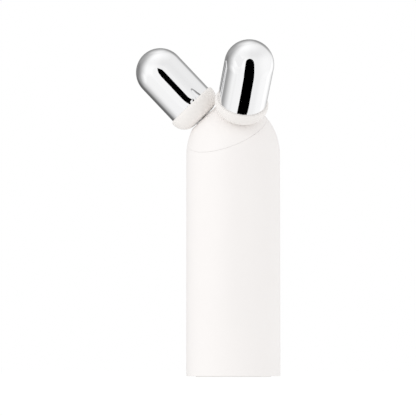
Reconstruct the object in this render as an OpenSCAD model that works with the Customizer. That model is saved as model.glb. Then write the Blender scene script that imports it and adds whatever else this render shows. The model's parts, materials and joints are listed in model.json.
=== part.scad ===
// Facial toning device: an upright round handle whose domed head carries two
// chromed rollers in a V. The origin is the centre of the foot, +Z is up the
// handle, -Y is the side that faces the skin, and the model mirrors about X = 0.

/* [Handle] */
// Outside diameter of the handle
handle_d = 42; // [40:0.5:46]
// Height of the handle's straight side, from the surface it stands on
straight_h = 99.1; // [92:0.1:130]
// Height of the dome above the straight side
dome_h = 24.3; // [23:0.1:28]
// Wall thickness of the handle shell and head cap
wall = 2.2; // [1.8:0.1:2.6]
// How far the rubber foot ring stands below the shell
foot_proud = 0.3; // [0.2:0.1:1]

/* [Head] */
// Forward tilt of the head, and of its seam
head_tilt = 32.5; // [30:0.5:35]
// Height of the point where the roller axes meet, above the straight side
apex_rise = 2.9; // [1:0.1:5]
// How far that point lies in front of the handle's axis
apex_forward = 0.4; // [0:0.1:2]
// Height of the seam above that point, along the head's own axis
seam_rise = 8.6; // [8:0.1:9.5]
// Gap between head cap and shell, filled by the gasket
seam_gap = 0.3; // [0.2:0.05:0.5]
// Depth of the gasket's edge below the outer surface
seam_recess = 0.8; // [0.4:0.1:1]
// Distance from the meeting point to the flat seat under each roller
seat_dist = 19; // [18.5:0.1:19.5]

/* [Rollers] */
// Angle between each roller's axis and the head's middle plane
roller_spread = 31; // [30:0.5:38]
// Diameter of the chromed roller cap
roller_d = 21.8; // [20:0.2:23]
// Length of the roller cap's straight side
roller_len = 19.4; // [18:0.1:26]
// Wall thickness of the roller cap
roller_wall = 1.4; // [1:0.1:2]
// Radius of the flat bottom of the roller cup
cup_flat_r = 5.2; // [5:0.1:6]
// Radius of the cup's rounded side
cup_round_r = 6.7; // [6:0.1:7]
// Depth of the cup, from its bottom to its rim
cup_depth = 8.4; // [8:0.1:10]
// Depth of the cap's spigot inside the cup
spigot_depth = 4; // [3:0.5:5]
// Running gap between the cup and its seat
running_gap = 0.4; // [0.3:0.1:0.8]

/* [Axles] */
// Diameter of the axle that a roller turns on
axle_d = 5; // [4:0.5:6]
// Diameter of the axle's threaded inner end
thread_d = 3; // [2.5:0.5:3.5]
// Width of the axle nut across its flats
nut_flats = 5.5; // [5:0.1:5.8]
// Height of the axle nut
nut_h = 2.4; // [2:0.1:2.6]
// Wall thickness of the roller bushes
bush_wall = 1.5; // [1:0.1:2]
// Length of each roller bush
bush_len = 5; // [3:0.5:6]

/* [Buttons] */
// Depth of the status lights, midway between the two buttons, below the upper deck
controls_drop = 28.4; // [26:0.1:31]
// Distance from the status lights to each button
button_reach = 14; // [13:0.5:16]
// Diameter of the power button
power_d = 11; // [9:0.5:12]
// Diameter of the mode button
mode_d = 9; // [8:0.5:12]
// How far a button travels
button_travel = 0.5; // [0.3:0.1:0.6]
// Depth of the finger dish in a button
dish_depth = 0.5; // [0.2:0.1:0.8]

/* [Cell and boards] */
// Diameter of the rechargeable cell
cell_d = 18.4; // [14:0.1:18.6]
// Length of the rechargeable cell
cell_len = 65; // [50:0.5:66]
// How far the cell's axis lies in front of the handle's axis
cell_forward = 5.5; // [5:0.1:6]
// Width of the main board
board_w = 24; // [22:0.5:26]
// Thickness of the main board and the charge board
board_t = 1.2; // [0.8:0.1:1.6]
// Distance from the shell's inner wall to the main board's inner face
board_depth = 8.8; // [8.6:0.1:9.3]

/* [Foot] */
// Thickness of the base cap's floor
base_t = 3; // [2.5:0.1:4]
// Height of the base cap's sealing skirt
skirt_h = 6; // [5:0.5:6.5]
// Distance of the rubber foot ring from the shell's inner wall
foot_inset = 2; // [1.5:0.1:2.5]
// Width of the rubber foot ring
foot_ring_w = 6.8; // [6.4:0.1:7.4]
// Width of the charge socket's opening
port_w = 8.94; // [8:0.01:9.2]
// Height of the charge socket's opening
port_h = 3.26; // [2.4:0.01:3.6]
// Length of the charge socket's shell
port_len = 7.3; // [6:0.1:8]

/* [Hidden] */
$fn = 96;

// Clearances
fit = 0.02;          // between pieces that are pressed or clamped together
running = 0.05;      // radial, between an axle and its bush
slip = 0.15;         // between pieces that slide into each other
overcut = 1;         // how far a cutting shape passes the face that it cuts

// Handle
handle_r = handle_d / 2;
inner_r = handle_r - wall;

// Foot, from the bottom up
ledge_step = 0.6;                       // how much wider the shell is round the base cap's floor
floor_r = inner_r + ledge_step - slip;
floor_top_z = foot_proud + base_t;
skirt_r = inner_r - slip;
skirt_wall = 2.2;
skirt_top_z = floor_top_z + skirt_h;
seal_cord_r = 0.7;
seal_side_gap = 0.1;
seal_z = floor_top_z + skirt_h / 2;
foot_sunk = 1;                          // how deep the foot ring lies in the base cap
foot_t = foot_proud + foot_sunk;
foot_outer_r = inner_r - foot_inset;
foot_inner_r = foot_outer_r - foot_ring_w;
port_lip = 0.5;                         // how far the socket's mouth sits inside the base cap
port_z = foot_proud + port_lip;
port_wall = 0.3;
port_back_t = 1;
port_tongue_t = 0.7;
port_tongue_inset = 0.6;
charge_board_z = port_z + port_len;
base_screw_r = 1.25;
base_screw_head_r = 2.2;
base_screw_head_h = 0.7;
base_screw_short = 1;                   // how far the screw ends below the deck
base_boss_r = 2.6;
base_boss_gap = 0.45;                   // to the base cap's skirt
screw_circle_r = skirt_r - skirt_wall - base_boss_gap - base_boss_r;
charge_board_gap = 1.2;                 // to the screw bosses
charge_board_r = screw_circle_r - base_boss_r - charge_board_gap;
charge_post_r = 1.4;
charge_post_inset = 0.6;                // between a post and the charge board's edge
charge_post_circle_r = charge_board_r - charge_post_inset - charge_post_r;

// Chassis, from the bottom up
deck_gap = 1.8;                         // above the charge board
deck_slack = 0.4;                       // between a deck's edge and the shell
deck_z = charge_board_z + board_t + deck_gap;
deck_t = 2;
deck_r = inner_r - deck_slack;
tab_t = 0.3;
cell_z = deck_z + deck_t + fit + tab_t + fit;
cell_top_z = cell_z + cell_len;
pad_t = 1.6;
pad_r = 7;
tab_disc_r = 4.6;
upper_deck_z = cell_top_z + fit + tab_t + fit + pad_t + fit;
upper_deck_top_z = upper_deck_z + deck_t;
cell_r = cell_d / 2;
trough_wall = 1.5;
cell_slack = 0.3;
trough_inner_r = cell_r + cell_slack;
trough_outer_r = trough_inner_r + trough_wall;
trough_gap = 2;                         // between the cell trough and each deck
rail_inset = 2;                         // from the board's edge to a rail's middle
rail_x = board_w / 2 - rail_inset;
rail_w = 3;
rail_front_y = 1;
post_x = 10.5;
post_w = 5;
post_back_y = 3;
post_front_y = -9;

// Board, and what stands on it
board_y = inner_r - board_depth;
board_out_y = board_y + board_t;
board_end_gap = 0.1;
board_z = deck_z + deck_t + board_end_gap;
board_len = upper_deck_z - board_end_gap - board_z;
board_screw_r = 0.9;
board_screw_len = 6;
board_screw_head_h = 1;
board_screw_inset = 7;
lead_x = 5.6;
lead_tail = 3;
charge_lead_w = 4;
charge_lead_t = 0.7;
charge_lead_rise = 8;
tab_x = 2.5;
tab_w = 2;
chip_w = 7;
chip_t = 1;
small_chip_w = 4;
small_chip_t = 0.9;
small_chip_rise = 2;                    // above the board's lower edge
coil_r = 3.6;
coil_core_r = 2.4;
coil_flange_t = 1;
coil_h = 4.4;
coil_deck_gap = 0.3;                    // below the upper deck
coil_z = upper_deck_z - coil_deck_gap - coil_r;
capacitor_r = 2;
capacitor_h = 4;
capacitor_x = 8;
capacitor_drop = 2;                     // below the power button's centre
deck_notch_half_w = 6.5;
deck_notch_d = 2;

// Head: the meeting point of the roller axes, and the bracket
apex_y = -apex_forward;
apex_z = straight_h + apex_rise;
tongue_depth = 3;
tongue_wall = 1.3;
seat_pad_t = 3;
seat_pad_r = 8.5;
bracket_top = seat_dist - seat_pad_t - fit;       // along a roller's axis
bracket_web = 2;
shoulder_depth = 2.8;
shoulder = bracket_top - shoulder_depth;          // where the axle steps down to its thread
web_under = shoulder - bracket_web;
terminal_t = 0.4;
terminal_r = 2.6;
nut_top = web_under - fit - terminal_t - fit;
thread_past_nut = 1;
thread_end = nut_top - nut_h - thread_past_nut;
lead_r = 0.45;                                    // electrode lead
lead_gap = 0.1;
wire_end_swell = 0.03;
nut_corner_r = nut_flats / 2 / cos(30);
lead_offset = nut_corner_r + lead_gap + lead_r;
nut_pocket_r = lead_offset + lead_r + lead_gap;
lead_exit = 4;                                    // along a roller's axis
bracket_half_w = 12;
bracket_half_d = 6;
bracket_foot = seat_dist - 13.6;                  // along the head's axis
bracket_peak = bracket_foot + 10;                 // along the head's axis
head_screw_r = 1.1;
head_screw_head_r = 2;
head_screw_head_h = 1.6;
head_screw_grip = 7.5;                            // under the bracket's foot
head_screw_bite = 4;                              // into the bracket
head_screw_start = bracket_foot - head_screw_grip;
head_screw_end = bracket_foot + head_screw_bite;
seat_cut = handle_r;                              // reaches past the dome's surface

// Rollers, as distances along their axis from the meeting point
axle_r = axle_d / 2;
roller_r = roller_d / 2;
cup_bottom = seat_dist + running_gap;
rim = cup_bottom + cup_depth;
dome_centre = rim + roller_len;
base_groove = 0.5;                                // small step where the cap meets the cup
spigot_step = 1.5;
spigot_r = roller_r - spigot_step;
spigot_wall = 1.4;
bush_r = axle_r + running + bush_wall;
hub_wall = 1.3;
hub_r = bush_r + fit + hub_wall;
hub_drop = 4;                                     // from the cap's dome centre down to the hub's top
hub_top = dome_centre - hub_drop;
bush_lip = 0.5;                                   // between a bush and its end of the hub
lower_bush = cup_bottom + bush_lip;
upper_bush = hub_top - bush_len - bush_lip;
cup_floor_t = 3;
cup_floor = cup_bottom + cup_floor_t;
collar_r = axle_r + 1.7;
collar_gap = 0.15;                                // between the collar and the cup
collar_t = running_gap - collar_gap;
clip_gap = 0.4;                                   // between the clip and the hub
clip_z = hub_top + clip_gap;
clip_t = 0.6;
clip_r = axle_r + 1.3;
clip_groove_r = axle_r - 0.5;
axle_past_clip = 1.4;
axle_end = clip_z + clip_t + axle_past_clip;
pin_r = 1.2;
pin_gap = 0.1;                                    // between the contact pin's tip and the cap
pin_tip = dome_centre + roller_r - roller_wall - pin_gap;
axle_seal_r = 0.6;
seal_pocket_r = axle_r + 2 * axle_seal_r + 2 * running;
seal_pocket_t = 1.4;

// Buttons, as distances from the handle's axis towards the back
pocket_cut = 0.2;                                 // how far a button's flat pocket lies inside the wall
pocket_y = inner_r - pocket_cut;
flange_t = 1.1;
flange_gap = 0.1;
flange_y = pocket_y - flange_gap;
flange_margin = 1.1;
pocket_margin = 1.5;
button_gap = 0.2;
switch_w = 6;
switch_t = 3.4;
switch_top_y = board_out_y + switch_t;
plunger_r = 1.75;
plunger_gap = 0.1;
plunger_in = 1;                                   // how deep a plunger sits in its switch
plunger_out = 1;                                  // how far a plunger stands out of its switch
plunger_tip_y = switch_top_y + plunger_out;
stem_r = 1.6;
dish_r = 30;
button_seal_cord_r = 0.35;
button_seal_rise = 0.75;                          // above the flat pocket
button_seal_y = pocket_y + button_seal_rise;
light_pitch = 4;
light_hole_r = 0.95;
controls_z = upper_deck_z - controls_drop;
power_z = controls_z + button_reach;
mode_z = controls_z - button_reach;
light_t = 0.8;
light_w = 1.6;
guide_gap = 0.3;
guide_y = board_out_y + light_t + guide_gap;
guide_t = 1.2;
guide_w = 3.6;
guide_end = 2;                                    // past the outer lights

// The outer form of handle and dome, drawn in by a given amount
module envelope(inset) {
    r = handle_r - inset;
    h = dome_h - inset;
    rotate_extrude() {
        square([r, straight_h]);
        translate([0, straight_h]) intersection() {
            scale([1, h / r]) circle(r);
            square([r, h]);
        }
    }
}

// Places its children on the head's axis
module at_head() {
    translate([0, apex_y, apex_z]) rotate([head_tilt, 0, 0]) children();
}

// Places its children on a roller's axis; side is -1 for left and 1 for right
module at_roller(side) {
    at_head() rotate([0, side * roller_spread, 0]) children();
}

// The place of a point that lies behind a roller's axis, at a distance along that axis
function roller_point(side, behind, along) =
    let (level = along * cos(roller_spread))
    [
        side * along * sin(roller_spread),
        apex_y + behind * cos(head_tilt) - level * sin(head_tilt),
        apex_z + behind * sin(head_tilt) + level * cos(head_tilt)
    ];

// A slab square to the head's axis, from one height to another
module head_slab(low, high) {
    at_head() translate([-handle_d, -handle_d, low]) cube([2 * handle_d, 2 * handle_d, high - low]);
}

// Places its children so that their +Z points out of the handle's back
module at_back(z) {
    translate([0, 0, z]) rotate([-90, 0, 0]) children();
}

// Places its children at each base screw
module at_base_screws() {
    for (turn = [0 : 2]) {
        rotate([0, 0, 120 * turn - 90]) translate([screw_circle_r, 0, 0]) children();
    }
}

// Places its children at each board screw, with +Z out of the handle's back
module at_board_screws() {
    for (side = [-1, 1]) {
        for (z = [board_z + board_screw_inset, board_z + board_len - board_screw_inset]) {
            translate([side * rail_x, 0, 0]) at_back(z) children();
        }
    }
}

// A tube between two distances along Z
module tube(outer_r, bore_r, low, high) {
    difference() {
        translate([0, 0, low]) cylinder(r = outer_r, h = high - low);
        translate([0, 0, low - overcut]) cylinder(r = bore_r, h = high - low + 2 * overcut);
    }
}

// A round ring of cord
module cord_ring(ring_r, cord_r) {
    rotate_extrude() translate([ring_r, 0]) circle(cord_r);
}

// A box centred on X, from one corner height to another in Y and Z
module bar(width, y0, y1, z0, z1) {
    translate([-width / 2, y0, z0]) cube([width, y1 - y0, z1 - z0]);
}

module seam_limit() {
    head_slab(seam_rise + seam_gap / 2, 3 * handle_d);
}

module button_hole(z, button_d) {
    at_back(z) {
        cylinder(r = button_d / 2 + button_gap, h = handle_d);
        cylinder(r = button_d / 2 + pocket_margin, h = pocket_y);
    }
}

module handle_shell() {
    color("whitesmoke") difference() {
        envelope(0);
        envelope(wall);
        head_slab(seam_rise - seam_gap / 2, 3 * handle_d);
        translate([0, 0, -overcut]) cylinder(r = handle_d, h = overcut + foot_proud);
        translate([0, 0, -overcut]) cylinder(r = inner_r + ledge_step, h = overcut + floor_top_z);
        button_hole(power_z, power_d);
        button_hole(mode_z, mode_d);
        for (step = [-1 : 1]) {
            at_back(controls_z + step * light_pitch) cylinder(r = light_hole_r, h = handle_d);
        }
    }
}

module head_cap() {
    color("whitesmoke") difference() {
        union() {
            difference() {
                intersection() {
                    envelope(0);
                    seam_limit();
                }
                envelope(wall);
            }
            intersection() {
                envelope(0);
                for (side = [-1, 1]) {
                    at_roller(side) translate([0, 0, seat_dist - seat_pad_t])
                        cylinder(r = seat_pad_r, h = 2 * seat_pad_t);
                }
            }
            difference() {
                intersection() {
                    envelope(wall + slip);
                    head_slab(seam_rise - tongue_depth, seam_rise + seam_gap + wall);
                }
                envelope(wall + slip + tongue_wall);
            }
        }
        for (side = [-1, 1]) {
            at_roller(side) {
                translate([0, 0, seat_dist]) cylinder(r = seat_cut, h = seat_cut);
                translate([0, 0, seat_dist - seat_pad_t - overcut])
                    cylinder(r = axle_r + fit, h = seat_pad_t + 2 * overcut);
                translate([0, 0, seat_dist - seal_pocket_t])
                    cylinder(r = seal_pocket_r, h = seal_pocket_t + overcut);
            }
        }
    }
}

module head_gasket() {
    color("dimgray") difference() {
        intersection() {
            envelope(seam_recess);
            head_slab(seam_rise - seam_gap / 2, seam_rise + seam_gap / 2);
        }
        envelope(wall - fit);
    }
}

module axle_bracket() {
    color("silver") difference() {
        intersection() {
            at_head() bar(2 * bracket_half_w, -bracket_half_d, bracket_half_d, bracket_foot, bracket_peak);
            envelope(wall + tongue_wall + 2 * slip);
            intersection_for(side = [-1, 1]) {
                at_roller(side) translate([0, 0, bracket_top - handle_d])
                    cylinder(r = handle_d, h = handle_d);
            }
        }
        for (side = [-1, 1]) {
            at_roller(side) {
                cylinder(r = nut_pocket_r, h = web_under);
                cylinder(r = thread_d / 2 + running, h = bracket_top);
                translate([0, 0, shoulder]) cylinder(r = axle_r + running, h = seat_pad_t + overcut);
            }
            at_head() translate([side * post_x, 0, bracket_foot - overcut])
                cylinder(r = head_screw_r + fit, h = head_screw_end - bracket_foot + overcut);
        }
    }
}

module head_screws() {
    color("gray") for (side = [-1, 1]) {
        at_head() translate([side * post_x, 0, head_screw_start]) {
            cylinder(r = head_screw_r, h = head_screw_end - head_screw_start);
            translate([0, 0, -head_screw_head_h]) cylinder(r = head_screw_head_r, h = head_screw_head_h);
        }
    }
}

module axle(side) {
    color("lightgray") at_roller(side) difference() {
        union() {
            translate([0, 0, shoulder]) cylinder(r = axle_r, h = axle_end - shoulder);
            translate([0, 0, thread_end]) cylinder(r = thread_d / 2, h = shoulder - thread_end);
            translate([0, 0, seat_dist + fit]) cylinder(r = collar_r, h = collar_t);
        }
        tube(axle_r + overcut, clip_groove_r, clip_z, clip_z + clip_t + fit);
    }
}

module axle_seals() {
    color("dimgray") for (side = [-1, 1]) {
        at_roller(side) translate([0, 0, seat_dist - seal_pocket_t / 2])
            cord_ring(axle_r + axle_seal_r + fit, axle_seal_r);
    }
}

module axle_nuts() {
    color("darkgray") for (side = [-1, 1]) {
        at_roller(side) difference() {
            translate([0, 0, nut_top - nut_h]) cylinder(r = nut_corner_r, h = nut_h, $fn = 6);
            translate([0, 0, nut_top - nut_h - overcut])
                cylinder(r = thread_d / 2 + fit, h = nut_h + 2 * overcut);
        }
    }
}

module lead_terminals() {
    color("gold") for (side = [-1, 1]) {
        at_roller(side) difference() {
            union() {
                translate([0, 0, nut_top + fit]) cylinder(r = terminal_r, h = terminal_t);
                translate([-lead_r, 0, nut_top + fit]) cube([2 * lead_r, lead_offset + lead_r, terminal_t]);
            }
            translate([0, 0, nut_top - overcut])
                cylinder(r = thread_d / 2 + fit, h = terminal_t + 2 * overcut);
        }
    }
}

module axle_clips() {
    color("gray") for (side = [-1, 1]) {
        at_roller(side) tube(clip_r, clip_groove_r + fit, clip_z + fit, clip_z + clip_t);
    }
}

module contact_pins() {
    color("gold") for (side = [-1, 1]) {
        at_roller(side) {
            translate([0, 0, axle_end + fit]) cylinder(r = pin_r, h = pin_tip - pin_r - axle_end - fit);
            translate([0, 0, pin_tip - pin_r]) sphere(pin_r);
        }
    }
}

module roller_cup(side) {
    color("whitesmoke") at_roller(side) difference() {
        union() {
            rotate_extrude() intersection() {
                translate([0, cup_bottom]) square([roller_d, cup_depth]);
                union() {
                    translate([0, cup_bottom]) square([cup_flat_r, cup_depth]);
                    translate([cup_flat_r, cup_bottom + cup_round_r]) circle(cup_round_r);
                }
            }
            translate([0, 0, cup_bottom + cup_flat_r])
                cylinder(r = hub_r, h = hub_top - cup_bottom - cup_flat_r);
        }
        difference() {
            translate([0, 0, cup_floor]) cylinder(r = spigot_r + fit, h = cup_depth);
            translate([0, 0, cup_floor - overcut]) cylinder(r = hub_r, h = cup_depth + 2 * overcut);
        }
        translate([0, 0, cup_bottom - overcut]) cylinder(r = axle_r + slip, h = roller_d + roller_len);
        translate([0, 0, cup_bottom - overcut])
            cylinder(r = bush_r + fit, h = bush_lip + bush_len + overcut);
        translate([0, 0, upper_bush]) cylinder(r = bush_r + fit, h = bush_lip + bush_len + overcut);
    }
}

module roller_cap(side) {
    color("gainsboro") at_roller(side) difference() {
        union() {
            translate([0, 0, rim + base_groove]) cylinder(r = roller_r, h = roller_len - base_groove);
            translate([0, 0, rim + fit])
                cylinder(r1 = roller_r - base_groove, r2 = roller_r, h = base_groove - fit);
            translate([0, 0, rim - spigot_depth]) cylinder(r = spigot_r, h = spigot_depth + base_groove);
            translate([0, 0, dome_centre]) sphere(roller_r);
        }
        translate([0, 0, rim - spigot_depth - overcut])
            cylinder(r = spigot_r - spigot_wall, h = spigot_depth + roller_wall + overcut);
        translate([0, 0, rim + roller_wall])
            cylinder(r = roller_r - roller_wall, h = roller_len - roller_wall);
        translate([0, 0, dome_centre]) sphere(roller_r - roller_wall);
    }
}

module roller_bushes(side) {
    color("tan") at_roller(side) {
        for (low = [lower_bush, upper_bush]) {
            tube(bush_r, axle_r + running, low, low + bush_len);
        }
    }
}

module trough() {
    intersection() {
        translate([0, -cell_forward, 0])
            tube(trough_outer_r, trough_inner_r, deck_z + deck_t + trough_gap, upper_deck_z - trough_gap);
        bar(handle_d, -cell_forward, handle_r, deck_z, upper_deck_z);
    }
}

module chassis() {
    color("darkslategray") difference() {
        union() {
            translate([0, 0, deck_z]) cylinder(r = deck_r, h = deck_t);
            translate([0, 0, upper_deck_z]) cylinder(r = deck_r, h = deck_t);
            trough();
            for (side = [-1, 1]) {
                translate([side * rail_x, 0, 0])
                    bar(rail_w, rail_front_y, board_y, deck_z + deck_t / 2, upper_deck_z + deck_t / 2);
                intersection() {
                    translate([side * post_x, 0, 0])
                        bar(post_w, post_front_y, post_back_y, upper_deck_z + deck_t / 2, apex_z + handle_r);
                    head_slab(-3 * handle_d, bracket_foot);
                }
            }
            at_base_screws() translate([0, 0, floor_top_z])
                cylinder(r = base_boss_r, h = deck_z - floor_top_z + deck_t / 2);
        }
        at_base_screws() translate([0, 0, floor_top_z - overcut])
            cylinder(r = base_screw_r + fit, h = deck_z - floor_top_z + overcut);
        at_board_screws() cylinder(r = board_screw_r + fit, h = handle_r);
        for (side = [-1, 1]) {
            at_head() translate([side * post_x, 0, head_screw_start])
                cylinder(r = head_screw_r + fit, h = bracket_foot - head_screw_start + overcut);
            at_head() translate([side * post_x, 0, head_screw_start - handle_r])
                cylinder(r = head_screw_head_r + slip, h = handle_r);
        }
        for (low = [deck_z, upper_deck_z]) {
            bar(2 * deck_notch_half_w, board_y - deck_notch_d, board_out_y + overcut,
                low - overcut, low + deck_t + overcut);
        }
    }
}

module cell() {
    color("steelblue") translate([0, -cell_forward, cell_z]) cylinder(r = cell_r, h = cell_len);
}

module cell_tabs() {
    color("silver") for (low = [cell_z - fit - tab_t, cell_top_z + fit]) {
        translate([0, -cell_forward, low]) cylinder(r = tab_disc_r, h = tab_t);
        translate([tab_x, -cell_forward, low]) cube([tab_w, cell_forward + board_y - fit, tab_t]);
    }
}

module cell_pad() {
    color("slategray") translate([0, -cell_forward, cell_top_z + fit + tab_t + fit])
        cylinder(r = pad_r, h = pad_t);
}

module main_board() {
    color("seagreen") difference() {
        bar(board_w, board_y, board_out_y, board_z, board_z + board_len);
        at_board_screws() cylinder(r = board_screw_r + fit, h = handle_r);
    }
}

module board_screws() {
    color("gray") at_board_screws() translate([0, 0, board_out_y + fit]) {
        translate([0, 0, -board_screw_len]) cylinder(r = board_screw_r, h = board_screw_len);
        cylinder(r = 2 * board_screw_r, h = board_screw_head_h);
    }
}

// The control chip lies midway between the mode switch and the charger chip
module control_chip() {
    below = board_z + small_chip_rise + small_chip_w;
    above = mode_z - switch_w / 2;
    z = (below + above - chip_w) / 2;
    color("black") bar(chip_w, board_out_y + fit, board_out_y + chip_t, z, z + chip_w);
}

module charger_chip() {
    z = board_z + small_chip_rise;
    color("black") bar(small_chip_w, board_out_y + fit, board_out_y + small_chip_t, z, z + small_chip_w);
}

module boost_coil() {
    color("saddlebrown") at_back(coil_z) difference() {
        translate([0, 0, board_out_y + fit]) cylinder(r = coil_r, h = coil_h);
        tube(coil_r + overcut, coil_core_r,
             board_out_y + coil_flange_t, board_out_y + coil_h - coil_flange_t);
    }
}

module capacitors() {
    color("navy") for (side = [-1, 1]) {
        translate([side * capacitor_x, board_out_y + fit, 0]) at_back(power_z - capacitor_drop)
            cylinder(r = capacitor_r, h = capacitor_h);
    }
}

module status_lights() {
    color("ivory") for (step = [-1 : 1]) {
        z = controls_z + step * light_pitch;
        bar(light_w, board_out_y + fit, board_out_y + light_t, z - light_w / 4, z + light_w / 4);
    }
}

module light_guide() {
    color("azure") {
        bar(guide_w, guide_y, guide_y + guide_t,
            controls_z - light_pitch - guide_end, controls_z + light_pitch + guide_end);
        intersection() {
            for (step = [-1 : 1]) {
                at_back(controls_z + step * light_pitch) translate([0, 0, guide_y + guide_t / 2])
                    cylinder(r = light_hole_r - running, h = handle_r);
            }
            cylinder(r = handle_r - running, h = straight_h);
        }
    }
}

module switch_bodies() {
    color("dimgray") for (z = [power_z, mode_z]) {
        difference() {
            bar(switch_w, board_out_y + fit, switch_top_y, z - switch_w / 2, z + switch_w / 2);
            at_back(z) translate([0, 0, switch_top_y - plunger_in - button_travel - plunger_gap])
                cylinder(r = plunger_r + plunger_gap, h = handle_r);
        }
    }
}

module plunger(z) {
    color("black") at_back(z) translate([0, 0, switch_top_y - plunger_in])
        cylinder(r = plunger_r, h = plunger_in + plunger_out);
}

module button(z, button_d) {
    color("whitesmoke") difference() {
        union() {
            intersection() {
                at_back(z) translate([0, 0, flange_y - flange_t]) cylinder(r = button_d / 2, h = handle_r);
                cylinder(r = handle_r, h = straight_h);
            }
            at_back(z) translate([0, 0, flange_y - flange_t])
                cylinder(r = button_d / 2 + flange_margin, h = flange_t);
            at_back(z) translate([0, 0, plunger_tip_y + fit])
                cylinder(r = stem_r, h = flange_y - plunger_tip_y);
        }
        at_back(z) translate([0, 0, handle_r + dish_r - dish_depth]) sphere(dish_r);
        at_back(z) translate([0, 0, button_seal_y])
            tube(button_d, button_d / 2 + button_gap - 2 * button_seal_cord_r - running - fit,
                 -button_seal_cord_r - fit, button_seal_cord_r + fit);
    }
}

module button_seal(z, button_d) {
    color("dimgray") at_back(z) translate([0, 0, button_seal_y])
        cord_ring(button_d / 2 + button_gap - running - button_seal_cord_r, button_seal_cord_r);
}

// One straight wire between two points, with a slightly fuller round end at each
module wire(from, to, r) {
    run = to - from;
    length = norm(run);
    translate(from) rotate([0, acos(run[2] / length), atan2(run[1], run[0])]) cylinder(r = r, h = length);
    translate(from) sphere(r + wire_end_swell);
    translate(to) sphere(r + wire_end_swell);
}

module electrode_leads() {
    color("firebrick") for (side = [-1, 1]) {
        under_terminal = roller_point(side, lead_offset, nut_top - lead_r - wire_end_swell);
        out_of_pocket = roller_point(side, lead_offset, lead_exit);
        above_deck = [side * lead_x, board_y - lead_r - lead_gap, upper_deck_top_z + lead_exit];
        on_board = [side * lead_x, board_y - lead_r - lead_gap, board_z + board_len - lead_tail];
        wire(under_terminal, out_of_pocket, lead_r);
        wire(out_of_pocket, above_deck, lead_r);
        wire(above_deck, on_board, lead_r);
    }
}

module base_cap() {
    color("whitesmoke") difference() {
        union() {
            translate([0, 0, foot_proud]) cylinder(r = floor_r, h = base_t);
            tube(skirt_r, skirt_r - skirt_wall, floor_top_z - base_t / 2, skirt_top_z);
            for (turn = [0 : 3]) {
                rotate([0, 0, 90 * turn + 45]) translate([charge_post_circle_r, 0, floor_top_z - base_t / 2])
                    cylinder(r = charge_post_r, h = charge_board_z - floor_top_z + base_t / 2);
            }
        }
        tube(foot_outer_r + fit, foot_inner_r - fit, -overcut, foot_t);
        tube(handle_r, inner_r - 2 * (seal_cord_r + fit),
             seal_z - seal_cord_r - seal_side_gap, seal_z + seal_cord_r + seal_side_gap);
        port_solid(port_w + 2 * fit, port_h + 2 * fit, 0, floor_top_z + overcut);
        at_base_screws() {
            cylinder(r = base_screw_r + slip, h = floor_top_z + overcut);
            cylinder(r = base_screw_head_r + slip, h = foot_t + base_screw_head_h);
        }
    }
}

module base_seal() {
    color("dimgray") translate([0, 0, seal_z]) cord_ring(inner_r - seal_cord_r - fit, seal_cord_r);
}

module base_screws() {
    color("gray") at_base_screws() translate([0, 0, foot_t + fit]) {
        cylinder(r = base_screw_head_r, h = base_screw_head_h - 2 * fit);
        cylinder(r = base_screw_r, h = deck_z - foot_t - base_screw_short);
    }
}

module foot_ring() {
    color("gray") tube(foot_outer_r, foot_inner_r, 0, foot_t - fit);
}

// A rounded slot shape along X, between two heights
module port_solid(width, height, low, high) {
    translate([0, 0, low]) linear_extrude(high - low) {
        square([width - height, height], center = true);
        for (side = [-1, 1]) {
            translate([side * (width - height) / 2, 0]) circle(height / 2);
        }
    }
}

module charge_board() {
    color("seagreen") translate([0, 0, charge_board_z + fit]) cylinder(r = charge_board_r, h = board_t);
}

module charge_socket() {
    color("silver") difference() {
        port_solid(port_w, port_h, port_z, charge_board_z);
        difference() {
            port_solid(port_w - 2 * port_wall, port_h - 2 * port_wall,
                       port_z - overcut, charge_board_z - port_back_t);
            bar(port_w - port_h, -port_tongue_t / 2, port_tongue_t / 2,
                port_z + port_tongue_inset, charge_board_z);
        }
    }
}

module charge_lead() {
    color("peru") bar(charge_lead_w, board_y - charge_lead_t, board_y - fit,
                      charge_board_z + board_t + 2 * fit, board_z + charge_lead_rise);
}

handle_shell();
head_cap();
head_gasket();
axle_bracket();
head_screws();
axle(-1);  // left_axle
axle(1);  // right_axle
axle_seals();
axle_nuts();
lead_terminals();
axle_clips();
contact_pins();
roller_cup(-1);  // left_roller_cup
roller_cap(-1);  // left_roller_cap
roller_bushes(-1);  // left_roller_bushes
roller_cup(1);  // right_roller_cup
roller_cap(1);  // right_roller_cap
roller_bushes(1);  // right_roller_bushes
chassis();
cell();
cell_tabs();
cell_pad();
main_board();
board_screws();
control_chip();
charger_chip();
boost_coil();
capacitors();
status_lights();
light_guide();
switch_bodies();
electrode_leads();
button(power_z, power_d);  // power_button
button_seal(power_z, power_d);  // power_button_seal
plunger(power_z);  // power_plunger
button(mode_z, mode_d);  // mode_button
button_seal(mode_z, mode_d);  // mode_button_seal
plunger(mode_z);  // mode_plunger
base_cap();
base_seal();
base_screws();
foot_ring();
charge_board();
charge_socket();
charge_lead();
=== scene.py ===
import json
from math import asin, atan, atan2, cos, pi, radians, sin, sqrt, tan

import bmesh
import bpy
from mathutils import Matrix, Vector


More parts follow.
